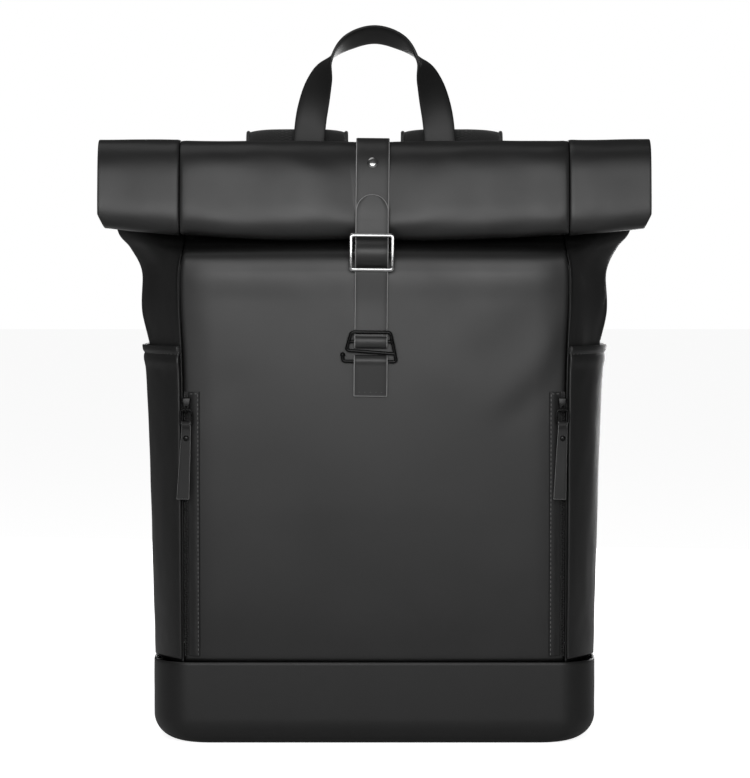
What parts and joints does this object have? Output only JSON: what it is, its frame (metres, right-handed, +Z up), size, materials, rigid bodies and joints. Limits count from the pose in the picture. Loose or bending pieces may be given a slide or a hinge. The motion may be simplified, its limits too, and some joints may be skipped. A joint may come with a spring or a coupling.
{
  "type": "roll-top laptop backpack",
  "caption": "Black roll-top laptop backpack with a buckled closure strap, side pockets, front zips and a carry handle.",
  "frame": {"origin": "middle of the flat underside, on the surface that the bag stands on", "axes": "+Z up, the front of the bag faces -Y, +X is to the right as seen from the front"},
  "size_m": [0.39, 0.1846, 0.5115],
  "materials": {
    "coated_cloth": "matte",
    "boot_cloth": "matte",
    "padded_cloth": "matte",
    "strap_cloth": "matte",
    "webbing": "matte",
    "silver": "satin",
    "gunmetal": "satin",
    "black_plastic": "satin"
  },
  "bodies": {
    "root": {"front_panel": "coated_cloth", "side_panel_left": "coated_cloth", "side_panel_right": "coated_cloth", "back_panel": "padded_cloth", "top_fabric": "coated_cloth", "base_boot": "boot_cloth", "roll_centre": "coated_cloth", "roll_end_left": "coated_cloth", "roll_end_right": "coated_cloth", "side_pocket_left": "coated_cloth", "side_pocket_right": "coated_cloth", "zip_placket_left": "coated_cloth", "zip_placket_right": "coated_cloth", "zip_chain_left": "webbing", "zip_chain_right": "webbing", "zip_slider_left": "gunmetal", "zip_slider_right": "gunmetal", "zip_ring_left": "gunmetal", "zip_ring_right": "gunmetal", "pull_tab_left": "strap_cloth", "pull_tab_right": "strap_cloth", "pull_rivet_left": "gunmetal", "pull_rivet_right": "gunmetal", "closure_strap_upper": "strap_cloth", "closure_strap_lower": "strap_cloth", "strap_rivet": "silver", "buckle_frame": "silver", "gate_hook": "gunmetal", "anchor_loop": "strap_cloth", "handle": "strap_cloth", "strap_yoke": "coated_cloth", "shoulder_strap_left": "padded_cloth", "shoulder_strap_right": "padded_cloth", "strap_loop_left": "webbing", "strap_loop_right": "webbing", "strap_adjuster_left": "black_plastic", "strap_adjuster_right": "black_plastic", "strap_webbing_left": "webbing", "strap_webbing_right": "webbing", "webbing_anchor_left": "strap_cloth", "webbing_anchor_right": "strap_cloth"}
  },
  "joints": []
}
